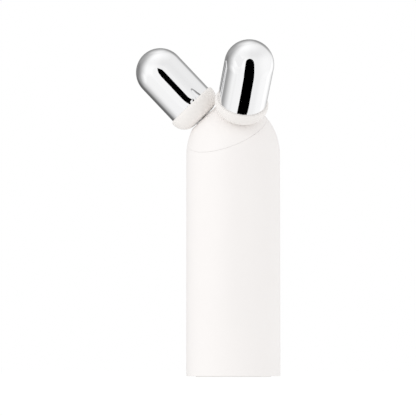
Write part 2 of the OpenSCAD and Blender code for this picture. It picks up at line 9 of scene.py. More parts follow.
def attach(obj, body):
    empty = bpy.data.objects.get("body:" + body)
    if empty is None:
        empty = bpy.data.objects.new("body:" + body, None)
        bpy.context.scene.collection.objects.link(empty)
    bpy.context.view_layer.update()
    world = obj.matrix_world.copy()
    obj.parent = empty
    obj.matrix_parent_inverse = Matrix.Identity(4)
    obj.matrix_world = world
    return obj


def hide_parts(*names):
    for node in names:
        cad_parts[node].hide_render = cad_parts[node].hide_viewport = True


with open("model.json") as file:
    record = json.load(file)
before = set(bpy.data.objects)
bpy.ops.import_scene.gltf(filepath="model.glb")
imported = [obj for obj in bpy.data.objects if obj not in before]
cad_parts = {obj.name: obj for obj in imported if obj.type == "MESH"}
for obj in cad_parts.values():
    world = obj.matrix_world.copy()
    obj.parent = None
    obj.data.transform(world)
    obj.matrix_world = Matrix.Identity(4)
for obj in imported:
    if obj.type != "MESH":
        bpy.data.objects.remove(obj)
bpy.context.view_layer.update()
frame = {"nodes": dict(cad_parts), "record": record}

MM = 0.001
FULL_TURN = 2 * pi

# Handle, in millimetres
HANDLE_R = 21.0
WALL = 2.2
STRAIGHT_H = 99.1
DOME_H = 24.3
FOOT_PROUD = 0.3
LEDGE_Z = 3.3
LEDGE_R = 19.4
FOOT_EDGE_ROUNDING = 0.3

# Head
HEAD_TILT = radians(32.5)
ROLLER_SPREAD = radians(31.0)
APEX = Vector((0.0, -0.4, 102.0))
SEAM_RISE = 8.6
SEAM_HALF_GAP = 0.04
SEAM_ROUNDING = 0.06
SEAT_DIST = 19.0
SEAT_PAD = 3.0
SEAT_ROUNDING = 0.3
AXLE_HOLE_R = 2.52
SEAL_POCKET_R = 3.8
SEAL_POCKET_DEPTH = 1.4

# Rollers, along their axis
CUP_BOTTOM = 19.4
CUP_RIM = 27.8
CUP_FLAT_R = 5.2
CUP_ROUND_R = 6.7
ROLLER_R = 10.9
ROLLER_DOME = 47.2
ROLLER_WALL = 1.4
LIP_LOW = 26.7
LIP_SHOULDER = 27.25
LIP_TOP = 27.5
LIP_GAP = 0.02
LIP_FLOOR = 26.3
SPIGOT_R = 9.4
SPIGOT_BORE_R = 8.0
SPIGOT_LOW = 23.8
SPIGOT_GAP = 0.02
CUP_FLOOR = 22.4
HUB_R = 5.37
HUB_TOP = 43.2
BUSH_SEAT_R = 4.07
UPPER_BUSH_Z = 37.7
LOWER_BUSH_Z = 24.9
AXLE_BORE_R = 2.65
SIDE_START = 1.5

# Controls on the back
POWER_Z = 66.0
POWER_R = 5.5
MODE_Z = 38.0
MODE_R = 4.5
LIGHT_ZS = (48.0, 52.0, 56.0)
LIGHT_HOLE_R = 0.95
BUTTON_GAP = 0.2
BUTTON_EDGE_ROUNDING = 0.35
HOLE_EDGE_ROUNDING = 0.2
POCKET_Y = 18.6
POCKET_MARGIN = 1.5
DISH_R = 30.0
DISH_DEPTH = 0.5
DISH_BLEND = 0.12
SKIRT_Y = 18.5
FLANGE_Y = 17.4
FLANGE_MARGIN = 1.1
STEM_R = 1.6
STEM_Y = 15.62

# Foot ring
FOOT_OUTER_R = 16.8
FOOT_INNER_R = 10.0
FOOT_T = 1.28
GROOVE_RS = (12.2, 14.6)
GROOVE_HALF_W = 0.2
GROOVE_DEPTH = 0.2

# Edges of the turned pieces, from crisp to soft
CRISP = 0.05
FINE = 0.1
SOFT = 0.2
RUBBER = 0.25

# Fineness of the meshes
COLUMNS = 256
COLUMN_PITCH = FULL_TURN * HANDLE_R / COLUMNS
ROW_PITCH = 1.6
TOP_ROW_Z = 94.0
DOME_ROWS = 28
INNER_DOME_ROWS = 10
CORNER_STEPS = 4
BISECTIONS = 40
SEAT_TURNS = 256
SEAT_RIM_ZONE = 0.035
FLAT_LEAN_STEPS = 8
RIM_LEAN_STEPS = 6
SIDE_LEAN_STEPS = 30
INNER_LEAN_STEPS = 24
ROUND_TURNS = 192
CUP_STEPS = 40
LIP_STEPS = 8
BULLET_STEPS = 64
BULLET_INNER_STEPS = 24
BUTTON_TURNS = 96
BUTTON_RINGS = 24
BUTTON_RING_SPREAD = 0.9
BUTTON_EDGE_STEPS = 5
SHARP_ANGLE = radians(40)
MERGE_DIST = 1e-7

# Half the side of the square patch round each hole, in columns, and the rings that fill it
MODE_PATCH = 12
POWER_PATCH = 15
LIGHT_PATCH = 3
BUTTON_HOLE_RINGS = 6
LIGHT_HOLE_RINGS = 3
INNER_HOLE_RINGS = 2
HOLE_RING_SPREAD = 1.4

# Where the searches for the seam and for a seat's rim start and end
SEAM_RUNS = (-20.0, HANDLE_R * pi / 2)
SEAM_LEANS = (0.3, 2.6)
RIM_LEANS = (0.02, 1.4)
SIDEWAYS_COS = 0.05


# ---- Node tools

def linked(tree, kind, links, **settings):
    """A node with its settings, and its inputs linked or set."""
    node = tree.nodes.new(kind)
    for key, value in settings.items():
        setattr(node, key, value)
    for key, value in links.items():
        if isinstance(value, bpy.types.NodeSocket):
            tree.links.new(value, node.inputs[key])
        else:
            node.inputs[key].default_value = value
    return node


def math_value(tree, operation, *values):
    """The result of one math step on values or sockets."""
    return linked(tree, "ShaderNodeMath", dict(enumerate(values)), operation=operation).outputs["Value"]


# ---- Mesh tools

def rounded_spot(start, corner, end, t):
    """A point of a rounded corner; t runs from 0 at its start to 1 at its end."""
    return start * (1 - t) ** 2 + corner * (2 * t * (1 - t)) + end * t ** 2


def bezier_corner(start, corner, end, steps):
    """Points of a rounded corner between two points, without its start."""
    return [rounded_spot(start, corner, end, i / steps) for i in range(1, steps + 1)]


def rounded_outline(corners):
    """A closed outline from (x, y, rounding) corners."""
    outline = []
    count = len(corners)
    for i, (x, y, rounding) in enumerate(corners):
        here = Vector((x, y))
        if rounding <= 0:
            outline.append(here)
            continue
        before = Vector(corners[i - 1][:2])
        after = Vector(corners[(i + 1) % count][:2])
        start = here + (before - here).normalized() * rounding
        end = here + (after - here).normalized() * rounding
        outline.append(start)
        outline.extend(bezier_corner(start, here, end, CORNER_STEPS))
    return outline


def arc(centre_x, centre_y, radius, start, end, steps):
    """Points of an arc as (x, y, no rounding) corners."""
    points = []
    for i in range(steps + 1):
        turn = start + (end - start) * i / steps
        points.append((centre_x + radius * cos(turn), centre_y + radius * sin(turn), 0))
    return points


def piece_from_points(name, points, faces, material, body, node):
    """A piece from its points in millimetres and its faces."""
    mesh = bpy.data.meshes.new(name)
    mesh.from_pydata([Vector(point) * MM for point in points], [], faces)
    mesh.materials.append(material)
    finished_piece(name, mesh, body, node)


def finished_piece(name, mesh, body, node):
    """A mesh made a piece of a body, with closed poles and outward faces."""
    work = bmesh.new()
    work.from_mesh(mesh)
    bmesh.ops.remove_doubles(work, verts=work.verts, dist=MERGE_DIST)
    bare = [edge for edge in work.edges if not edge.link_faces]
    bmesh.ops.delete(work, geom=bare, context="EDGES")
    loose = [vert for vert in work.verts if not vert.link_faces]
    bmesh.ops.delete(work, geom=loose, context="VERTS")
    bmesh.ops.recalc_face_normals(work, faces=work.faces)
    work.to_mesh(mesh)
    work.free()
    mesh.shade_smooth()
    mesh.set_sharp_from_angle(angle=SHARP_ANGLE)
    piece = bpy.data.objects.new(name, mesh)
    bpy.context.scene.collection.objects.link(piece)
    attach(piece, body)
    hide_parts(node)


def ring_faces(rows, columns):
    """Quads between rows of points that each go once round."""
    faces = []
    for i in range(rows - 1):
        low = i * columns
        high = low + columns
        for j in range(columns):
            k = (j + 1) % columns
            faces.append((low + j, low + k, high + k, high + j))
    return faces


def turning_tree():
    """Geometry nodes that turn a closed outline, given as points, round the upright axis."""
    tree = bpy.data.node_groups.new("Turned Piece", "GeometryNodeTree")
    for label, kind in (("Outline", "NodeSocketGeometry"), ("Corners", "NodeSocketInt"),
                        ("Turns", "NodeSocketInt"), ("Finish", "NodeSocketMaterial")):
        tree.interface.new_socket(name=label, in_out="INPUT", socket_type=kind)
    tree.interface.new_socket(name="Piece", in_out="OUTPUT", socket_type="NodeSocketGeometry")
    start = tree.nodes.new("NodeGroupInput").outputs
    end = tree.nodes.new("NodeGroupOutput")
    rows = math_value(tree, "ADD", start["Corners"], 1.0)
    columns = math_value(tree, "ADD", start["Turns"], 1.0)
    sheet = linked(tree, "GeometryNodeMeshGrid", {"Vertices X": rows, "Vertices Y": columns})
    index = tree.nodes.new("GeometryNodeInputIndex").outputs["Index"]
    row = math_value(tree, "FLOOR", math_value(tree, "DIVIDE", index, columns))
    column = math_value(tree, "MODULO", index, columns)
    corner = math_value(tree, "MODULO", row, start["Corners"])
    place = tree.nodes.new("GeometryNodeInputPosition").outputs["Position"]
    spot = linked(tree, "GeometryNodeSampleIndex",
                  {"Geometry": start["Outline"], "Value": place, "Index": corner},
                  data_type="FLOAT_VECTOR", domain="POINT")
    step = math_value(tree, "DIVIDE", FULL_TURN, start["Turns"])
    turned = linked(tree, "ShaderNodeVectorRotate",
                    {"Vector": spot.outputs["Value"], "Angle": math_value(tree, "MULTIPLY", column, step)},
                    rotation_type="Z_AXIS")
    moved = linked(tree, "GeometryNodeSetPosition",
                   {"Geometry": sheet.outputs["Mesh"], "Position": turned.outputs["Vector"]})
    closed = linked(tree, "GeometryNodeMergeByDistance",
                    {"Geometry": moved.outputs["Geometry"], "Distance": MERGE_DIST})
    whole = linked(tree, "GeometryNodeRealizeInstances", {"Geometry": closed.outputs["Geometry"]})
    dressed = linked(tree, "GeometryNodeSetMaterial",
                     {"Geometry": whole.outputs["Geometry"], "Material": start["Finish"]})
    tree.links.new(dressed.outputs["Geometry"], end.inputs["Piece"])
    return tree


TURNING = turning_tree()


def turned_mesh(name, outline, place, material):
    """A closed outline of (radius, height) in millimetres turned round its axis, as a plain mesh."""
    points = bpy.data.meshes.new(name)
    points.from_pydata([(radius * MM, 0, height * MM) for radius, height in outline], [], [])
    item = bpy.data.objects.new(name, points)
    bpy.context.scene.collection.objects.link(item)
    modifier = item.modifiers.new("turning", "NODES")
    modifier.node_group = TURNING
    values = {"Corners": len(outline), "Turns": ROUND_TURNS, "Finish": material}
    for label, value in values.items():
        modifier[TURNING.interface.items_tree[label].identifier] = value
    finished = item.evaluated_get(bpy.context.evaluated_depsgraph_get())
    mesh = bpy.data.meshes.new_from_object(finished)
    item.modifiers.remove(modifier)
    bpy.data.objects.remove(item)
    bpy.data.meshes.remove(points)
    mesh.name = name
    # The sheet brings an empty material slot of its own
    mesh.materials.clear()
    mesh.materials.append(material)
    mesh.transform(Matrix.Scale(MM, 4) @ place @ Matrix.Scale(1 / MM, 4))
    return mesh


def roller_place(side):
    """The place of a roller's axis, from the point where the two axes meet."""
    lean = Matrix.Rotation(HEAD_TILT, 4, "X")
    spread = Matrix.Rotation(side * ROLLER_SPREAD, 4, "Y")
    return Matrix.Translation(APEX) @ lean @ spread


HEAD_AXIS = Vector((0, -sin(HEAD_TILT), cos(HEAD_TILT)))


def head_level(point):
    """The height of a point along the head's own axis."""
    return (point - APEX).dot(HEAD_AXIS)


# ---- Handle shell

def meridian(inset, run, turn):
    """A point of the handle's form; run is measured up from the straight side's end."""
    radius = HANDLE_R - inset
    height = DOME_H - inset
    if run <= 0:
        return Vector((radius * sin(turn), radius * cos(turn), STRAIGHT_H + run))
    rise = run / HANDLE_R
    flat = radius * cos(rise)
    return Vector((flat * sin(turn), flat * cos(turn), STRAIGHT_H + height * sin(rise)))


def bisected(is_low, low, high):
    """The place between two values where a test that holds at the low one stops holding."""
    for _ in range(BISECTIONS):
        middle = (low + high) / 2
        if is_low(middle):
            low = middle
        else:
            high = middle
    return (low + high) / 2


def seam_run(inset, turn, level):
    """Where the handle's form meets a plane square to the head's axis."""
    def below(run):
        return head_level(meridian(inset, run, turn)) < level
    return bisected(below, *SEAM_RUNS)


def wall_rows():
    """Heights of the straight side's rows, and the square patches round its holes."""
    holes = [(MODE_Z, MODE_R + BUTTON_GAP, MODE_PATCH, True)]
    holes += [(z, LIGHT_HOLE_R, LIGHT_PATCH, False) for z in LIGHT_ZS]
    holes.append((POWER_Z, POWER_R + BUTTON_GAP, POWER_PATCH, True))
    rows = []
    patches = []
    z = FOOT_PROUD + FOOT_EDGE_ROUNDING
    for hole_z, hole_r, half, pocket in holes:
        low = hole_z - half * COLUMN_PITCH
        steps = max(1, round((low - z) / ROW_PITCH))
        rows += [z + (low - z) * i / steps for i in range(steps)]
        first = len(rows)
        rows += [low + COLUMN_PITCH * i for i in range(2 * half)]
        patches.append((first, half, hole_z, hole_r, pocket))
        z = hole_z + half * COLUMN_PITCH
    steps = max(1, round((TOP_ROW_Z - z) / ROW_PITCH))
    rows += [z + (TOP_ROW_Z - z) * i / steps for i in range(steps + 1)]
    return rows, patches


def column_turns():
    """The turns round the handle at which the shell has a column of points."""
    return [FULL_TURN * j / COLUMNS for j in range(COLUMNS)]


class ShellBuilder:
    """Collects the handle shell's points and faces."""

    def __init__(self):
        self.points = []
        self.faces = []

    def row(self, make):
        """Adds a row of points that goes once round; gives its first point's index."""
        start = len(self.points)
        self.points.extend(make(turn) for turn in column_turns())
        return start

    def circle(self, radius, z):
        """Adds a level row; gives its first point's index."""
        return self.row(lambda turn: Vector((radius * sin(turn), radius * cos(turn), z)))

    def join(self, low, high, skip=()):
        """Faces between two rows, but for the columns to skip."""
        for j in range(COLUMNS):
            if j in skip:
                continue
            k = (j + 1) % COLUMNS
            self.faces.append((low + j, low + k, high + k, high + j))

    def loop(self, made):
        """Adds a loop of points; gives all their indices."""
        start = len(self.points)
        self.points.extend(made)
        return [start + i for i in range(len(made))]

    def join_loops(self, first, second):
        """Faces between two loops of as many points."""
        count = len(first)
        for i in range(count):
            k = (i + 1) % count
            self.faces.append((first[i], first[k], second[k], second[i]))


def patch_border(row_starts, first, half):
    """The grid's points round a square patch, in order, as point indices."""
    border = []
    last = first + 2 * half
    for j in range(-half, half):
        border.append(row_starts[first] + j % COLUMNS)
    for i in range(first, last):
        border.append(row_starts[i] + half)
    for j in range(half, -half, -1):
        border.append(row_starts[last] + j % COLUMNS)
    for i in range(last, first, -1):
        border.append(row_starts[i] + (-half) % COLUMNS)
    return border


def patch_skips(patches):
    """For each row gap, the columns that a patch takes out."""
    skips = {}
    for first, half, _, _, _ in patches:
        columns = {j % COLUMNS for j in range(-half, half)}
        for i in range(first, first + 2 * half):
            skips[i] = columns
    return skips


def on_wall(radius, x, z):
    """The point of a round wall's back at a place across and up."""
    return Vector((x, sqrt(radius * radius - x * x), z))


def hole_rings(shell, border, radius, hole_z, angles, start_r, steps):
    """Rings from a round hole out to the border of its patch; gives the hole's ring."""
    ring = shell.loop([on_wall(radius, start_r * sin(a), hole_z + start_r * cos(a)) for a in angles])
    inner = ring
    for step in range(1, steps):
        share = (step / steps) ** HOLE_RING_SPREAD
        made = []
        for a, index in zip(angles, border):
            out = shell.points[index]
            x = start_r * sin(a) * (1 - share) + out.x * share
            z = (hole_z + start_r * cos(a)) * (1 - share) + out.z * share
            made.append(on_wall(radius, x, z))
        following = shell.loop(made)
        shell.join_loops(ring, following)
        ring = following
    shell.join_loops(ring, border)
    return inner


def rim_spot(hole_r, hole_z, rounding, angle, t):
    """A point of a hole's rounded outer rim."""
    rim_r = hole_r + rounding
    start = on_wall(HANDLE_R, rim_r * sin(angle), hole_z + rim_r * cos(angle))
    edge = on_wall(HANDLE_R, hole_r * sin(angle), hole_z + hole_r * cos(angle))
    return rounded_spot(start, edge, edge - Vector((0, rounding, 0)), t)


def add_straight_side(shell, radius, heights, skips):
    """One face of the straight wall; gives the first point of each row."""
    starts = [shell.circle(radius, z) for z in heights]
    for i in range(len(starts) - 1):
        shell.join(starts[i], starts[i + 1], skips.get(i, ()))
    return starts


def add_dome(shell, outer_top, inner_top):
    """The shoulder, from the outer wall over the seam's rounded edge to the inner wall."""
    seam_level = SEAM_RISE - SEAM_HALF_GAP
    outer_end = {turn: seam_run(0, turn, seam_level) for turn in column_turns()}
    inner_end = {turn: seam_run(WALL, turn, seam_level) for turn in column_turns()}
    edge_start = {turn: run - SEAM_ROUNDING for turn, run in outer_end.items()}
    first_run = TOP_ROW_Z - STRAIGHT_H

    def along(inset, ends, share):
        return lambda turn: meridian(inset, first_run + (ends[turn] - first_run) * share, turn)

    def round_edge(t):
        def spot(turn):
            start = meridian(0, edge_start[turn], turn)
            corner = meridian(0, outer_end[turn], turn)
            across = (meridian(WALL, inner_end[turn], turn) - corner).normalized()
            return rounded_spot(start, corner, corner + across * SEAM_ROUNDING, t)
        return spot

    makers = [along(0, edge_start, i / DOME_ROWS) for i in range(1, DOME_ROWS + 1)]
    makers += [round_edge(i / CORNER_STEPS) for i in range(1, CORNER_STEPS + 1)]
    makers += [along(WALL, inner_end, i / INNER_DOME_ROWS) for i in range(INNER_DOME_ROWS, 0, -1)]
    previous = outer_top
    for make in makers:
        row = shell.row(make)
        shell.join(previous, row)
        previous = row
    shell.join(previous, inner_top)


def add_foot(shell, inner_start, outer_start):
    """The ledge for the base cap and the rounded edge round it, from the inner to the outer wall."""
    edge_r = HANDLE_R - FOOT_EDGE_ROUNDING
    corner_start = Vector((edge_r, FOOT_PROUD))
    corner = Vector((HANDLE_R, FOOT_PROUD))
    corner_end = Vector((HANDLE_R, FOOT_PROUD + FOOT_EDGE_ROUNDING))
    profile = [(HANDLE_R - WALL, LEDGE_Z), (LEDGE_R, LEDGE_Z), (LEDGE_R, FOOT_PROUD), (edge_r, FOOT_PROUD)]
    profile += bezier_corner(corner_start, corner, corner_end, CORNER_STEPS)[:-1]
    # The ledge lies above the inner wall's first row, so that row is moved up to it
    for j in range(COLUMNS):
        shell.points[inner_start + j].z = LEDGE_Z
    previous = inner_start
    for radius, z in profile:
        row = shell.circle(radius, z)
        shell.join(previous, row)
        previous = row
    shell.join(previous, outer_start)


def add_hole(shell, outer, inner, patch):
    """A round hole with a rounded rim and, for a button, a wider pocket behind it."""
    first, half, hole_z, hole_r, pocket = patch
    outer_border = patch_border(outer, first, half)
    inner_border = patch_border(inner, first, half)
    angles = [atan2(shell.points[i].x, shell.points[i].z - hole_z) for i in outer_border]
    rounding = HOLE_EDGE_ROUNDING if pocket else HOLE_EDGE_ROUNDING / 2
    rings = BUTTON_HOLE_RINGS if pocket else LIGHT_HOLE_RINGS
    rim = hole_rings(shell, outer_border, HANDLE_R, hole_z, angles, hole_r + rounding, rings)
    loops = []
    for i in range(1, CORNER_STEPS + 1):
        loops.append([rim_spot(hole_r, hole_z, rounding, a, i / CORNER_STEPS) for a in angles])
    wall_r = hole_r
    if pocket:
        wall_r = hole_r - BUTTON_GAP + POCKET_MARGIN
        for ring_r in (hole_r, wall_r):
            loops.append([Vector((ring_r * sin(a), POCKET_Y, hole_z + ring_r * cos(a))) for a in angles])
    for made in loops:
        following = shell.loop(made)
        shell.join_loops(rim, following)
        rim = following
    inner_ring = hole_rings(shell, inner_border, HANDLE_R - WALL, hole_z, angles, wall_r, INNER_HOLE_RINGS)
    shell.join_loops(rim, inner_ring)


def handle_shell(material):
    """The round tube with its domed shoulder, seam edge, and holes for the controls."""
    shell = ShellBuilder()
    heights, patches = wall_rows()
    skips = patch_skips(patches)
    outer = add_straight_side(shell, HANDLE_R, heights, skips)
    inner = add_straight_side(shell, HANDLE_R - WALL, heights, skips)
    add_dome(shell, outer[-1], inner[-1])
    add_foot(shell, inner[0], outer[0])
    for patch in patches:
        add_hole(shell, outer, inner, patch)
    piece_from_points("handle_moulding", shell.points, shell.faces, material,
                      "body", "handle_shell")


# ---- Head cap

def form_distance(direction, inset):
    """How far the handle's form lies from the apex in a direction."""
    radius = HANDLE_R - inset
    height = DOME_H - inset
    x, y, z = direction
    px, py, pz = APEX.x, APEX.y, APEX.z - STRAIGHT_H
    a = (x * x + y * y) / radius ** 2 + z * z / height ** 2
    b = 2 * ((px * x + py * y) / radius ** 2 + pz * z / height ** 2)
    c = (px * px + py * py) / radius ** 2 + pz * pz / height ** 2 - 1
    reach = (-b + sqrt(b * b - 4 * a * c)) / (2 * a)
    if pz + reach * z >= 0:
        return reach
    a = x * x + y * y
    b = 2 * (px * x + py * y)
    c = px * px + py * py - radius ** 2
    return (-b + sqrt(b * b - 4 * a * c)) / (2 * a)


def soft_least(a, b, width):
    """The smaller of two lengths, rounded where they are nearly equal."""
    near = max(width - abs(a - b), 0) / width
    return min(a, b) - near * near * width / 4


class SeatGrid:
    """Directions round one roller's axis, from the axle hole out to the seam."""

    def __init__(self):
        place = roller_place(1).to_3x3()
        self.axis = place @ Vector((0, 0, 1))
        self.out = place @ Vector((1, 0, 0))
        self.back = place @ Vector((0, 1, 0))
        self.level = SEAM_RISE + SEAM_HALF_GAP

    def direction(self, lean, turn):
        """The direction that leans from the axis, at a turn round it."""
        round_axis = self.out * cos(turn) + self.back * sin(turn)
        return self.axis * cos(lean) + round_axis * sin(lean)

    def distance(self, lean, turn, inset, seat):
        """How far the cap reaches: to the handle's form, or to the flat seat where that is nearer."""
        form = form_distance(self.direction(lean, turn), inset)
        if cos(lean) < SIDEWAYS_COS:
            return form
        return soft_least(form, seat / cos(lean), SEAT_ROUNDING)

    def point(self, lean, turn, inset, seat):
        """The cap's point in a direction."""
        return APEX + self.direction(lean, turn) * self.distance(lean, turn, inset, seat)

    def middle_lean(self, turn):
        """The lean at which a turn meets the plane between the two rollers."""
        if cos(turn) >= -1e-6:
            return pi
        return atan(tan(ROLLER_SPREAD) / -cos(turn))

    def seam_lean(self, turn, inset):
        """The lean at which a turn meets the seam."""
        def above(lean):
            direction = self.direction(lean, turn)
            return form_distance(direction, inset) * direction.dot(HEAD_AXIS) > self.level
        return bisected(above, *SEAM_LEANS)

    def rim_lean(self, turn):
        """The lean at which a turn meets the rim of the flat seat."""
        def inside(lean):
            return form_distance(self.direction(lean, turn), 0) > SEAT_DIST / cos(lean)
        return bisected(inside, *RIM_LEANS)

    def turns(self):
        """Turns round the axis, with one at each corner of the seam and the middle plane."""
        def past_middle(turn):
            return self.seam_lean(turn, 0) > self.middle_lean(turn)

        turns = [FULL_TURN * j / SEAT_TURNS for j in range(SEAT_TURNS)]
        ends = turns[1:] + [FULL_TURN]
        corners = []
        for j, (start, end) in enumerate(zip(turns[:], ends)):
            at_start = past_middle(start)
            if at_start != past_middle(end):
                turns[j] = bisected(lambda turn: past_middle(turn) == at_start, start, end)
                corners.append(j)
        return turns, corners


def seam_edge_points(point, level):
    """Start, corner and end of the rounded seam edge at a point on the seam."""
    flat = point - APEX - HEAD_AXIS * head_level(point)
    sideways = flat.normalized()

    def reach(at_level):
        origin = APEX + HEAD_AXIS * at_level

        def inside(out):
            spot = origin + sideways * out
            rise = max(spot.z - STRAIGHT_H, 0) / DOME_H
            return (spot.x ** 2 + spot.y ** 2) / HANDLE_R ** 2 + rise ** 2 < 1
        return origin + sideways * bisected(inside, 0.0, 2 * HANDLE_R)

    corner = reach(level)
    return reach(level + SEAM_ROUNDING), corner, corner - sideways * SEAM_ROUNDING


def outer_leans(grid, turn, last):
    """Leans from the seal's pocket out over the seat's rim, close together there, up to the last."""
    pocket = atan(SEAL_POCKET_R / SEAT_DIST)
    rim = grid.rim_lean(turn)
    flat_end = rim - SEAT_RIM_ZONE
    side_start = rim + SEAT_RIM_ZONE
    leans = [pocket + (flat_end - pocket) * i / FLAT_LEAN_STEPS for i in range(1, FLAT_LEAN_STEPS + 1)]
    leans += [rim + SEAT_RIM_ZONE * i / RIM_LEAN_STEPS for i in range(1 - RIM_LEAN_STEPS, RIM_LEAN_STEPS + 1)]
    leans += [side_start + (last - side_start) * i / SIDE_LEAN_STEPS for i in range(1, SIDE_LEAN_STEPS)]
    return leans


def outside_column(grid, turn, last, on_seam, on_middle):
    """The cap's outside in one direction, from the axle hole to the seam or the middle plane."""
    round_axis = grid.out * cos(turn) + grid.back * sin(turn)
    pocket_floor = SEAT_DIST - SEAL_POCKET_DEPTH
    bore = ((AXLE_HOLE_R, SEAT_DIST - SEAT_PAD), (AXLE_HOLE_R, pocket_floor),
            (SEAL_POCKET_R, pocket_floor), (SEAL_POCKET_R, SEAT_DIST))
    column = [APEX + grid.axis * height + round_axis * radius for radius, height in bore]
    column += [grid.point(lean, turn, 0, SEAT_DIST) for lean in outer_leans(grid, turn, last)]
    edge = grid.point(last, turn, 0, SEAT_DIST)
    if on_middle:
        edge.x = 0
    if not on_seam:
        return column + [edge.copy() for _ in range(CORNER_STEPS + 1)]
    start, corner, end = seam_edge_points(edge, grid.level)
    return column + [start] + bezier_corner(start, corner, end, CORNER_STEPS)


def inside_column(grid, turn, on_middle):
    """The cap's inside in one direction, from the axle hole to the seam or the middle plane."""
    inner_seat = SEAT_DIST - SEAT_PAD
    first = atan(AXLE_HOLE_R / inner_seat)
    last = min(grid.seam_lean(turn, WALL), grid.middle_lean(turn))
    leans = [first + (last - first) * i / INNER_LEAN_STEPS for i in range(1, INNER_LEAN_STEPS + 1)]
    column = [grid.point(lean, turn, WALL, inner_seat) for lean in leans]
    if on_middle:
        column[-1].x = 0
    return column


def cap_faces(seam_bound, outer_count, stride):
    """Faces between the columns; the seam's edge is closed only where the seam is."""
    faces = []
    side_count = outer_count - 1 - CORNER_STEPS
    for j, on_seam in enumerate(seam_bound):
        k = (j + 1) % len(seam_bound)
        a = j * stride
        b = k * stride
        joined = list(range(side_count))
        if on_seam and seam_bound[k]:
            joined += range(side_count, outer_count - 1)
            faces.append((a + outer_count - 1, b + outer_count - 1, b + stride - 1, a + stride - 1))
        joined += range(outer_count, stride - 1)
        faces += [(a + i, b + i, b + i + 1, a + i + 1) for i in joined]
        faces.append((a, b, b + outer_count, a + outer_count))
    return faces


def head_cap(material):
    """The dome above the seam, with a flat seat and an axle hole for each roller."""
    grid = SeatGrid()
    turns, corners = grid.turns()
    points = []
    seam_bound = []
    for j, turn in enumerate(turns):
        seam = grid.seam_lean(turn, 0)
        middle = grid.middle_lean(turn)
        on_seam = j in corners or seam < middle
        on_middle = j in corners or not on_seam
        outside = outside_column(grid, turn, min(seam, middle), on_seam, on_middle)
        inside = inside_column(grid, turn, on_middle)
        points += outside + inside
        seam_bound.append(on_seam)
    faces = cap_faces(seam_bound, len(outside), len(outside) + len(inside))
    mirrored = len(points)
    points += [Vector((-p.x, p.y, p.z)) for p in points]
    faces += [tuple(mirrored + i for i in reversed(face)) for face in faces]
    piece_from_points("head_dome", points, faces, material, "body", "head_cap")


# ---- Rollers

def turned_piece(name, corners, side, material, node):
    """A roller's piece, turned round that roller's axis."""
    body = "left_roller" if side < 0 else "right_roller"
    hand = "left" if side < 0 else "right"
    mesh = turned_mesh(hand + name, rounded_outline(corners), roller_place(side), material)
    finished_piece(hand + name, mesh, body, body + node)


def roller_cup(side, material):
    """The white bowl of a roller, with the hub that its bushes sit in."""
    centre_z = CUP_BOTTOM + CUP_ROUND_R
    lip_turn = asin((LIP_LOW - centre_z) / CUP_ROUND_R)
    rim_turn = asin((CUP_RIM - centre_z) / CUP_ROUND_R)
    spigot_r = SPIGOT_R + SPIGOT_GAP
    lip_r = ROLLER_R + LIP_GAP
    corners = [(BUSH_SEAT_R, CUP_BOTTOM, FINE)]
    corners += arc(CUP_FLAT_R, centre_z, CUP_ROUND_R, -pi / 2, lip_turn, CUP_STEPS)
    lip_start = Vector(corners[-1][:2])
    lip_corner = Vector((CUP_FLAT_R + CUP_ROUND_R * cos(rim_turn), LIP_SHOULDER))
    lip_end = Vector((lip_r, LIP_TOP))
    lip = bezier_corner(lip_start, lip_corner, lip_end, LIP_STEPS)
    corners += [(spot.x, spot.y, 0) for spot in lip]
    corners += [(lip_r, LIP_FLOOR, CRISP), (spigot_r, LIP_FLOOR, CRISP), (spigot_r, CUP_FLOOR, SOFT)]
    corners += [(HUB_R, CUP_FLOOR, SOFT), (HUB_R, HUB_TOP, SOFT), (BUSH_SEAT_R, HUB_TOP, FINE)]
    corners += [(BUSH_SEAT_R, UPPER_BUSH_Z, 0), (AXLE_BORE_R, UPPER_BUSH_Z, 0)]
    corners += [(AXLE_BORE_R, LOWER_BUSH_Z, 0), (BUSH_SEAT_R, LOWER_BUSH_Z, 0)]
    turned_piece("_cup", corners, side, material, "_cup")


def roller_cap(side, material):
    """The polished bullet of a roller, with the spigot that grips the cup."""
    inner_r = ROLLER_R - ROLLER_WALL
    floor_top = CUP_RIM + ROLLER_WALL
    skirt_low = LIP_FLOOR + SPIGOT_GAP
    corners = [(SPIGOT_BORE_R, SPIGOT_LOW, SOFT), (SPIGOT_R, SPIGOT_LOW, SOFT), (SPIGOT_R, skirt_low, 0)]
    corners += [(ROLLER_R, skirt_low, FINE), (ROLLER_R, CUP_RIM + SIDE_START, 0)]
    corners += arc(0, ROLLER_DOME, ROLLER_R, 0, pi / 2, BULLET_STEPS)
    corners += arc(0, ROLLER_DOME, inner_r, pi / 2, 0, BULLET_INNER_STEPS)
    corners += [(inner_r, floor_top, SOFT), (SPIGOT_BORE_R, floor_top, SOFT)]
    turned_piece("_bullet", corners, side, material, "_cap")


# ---- Controls and foot

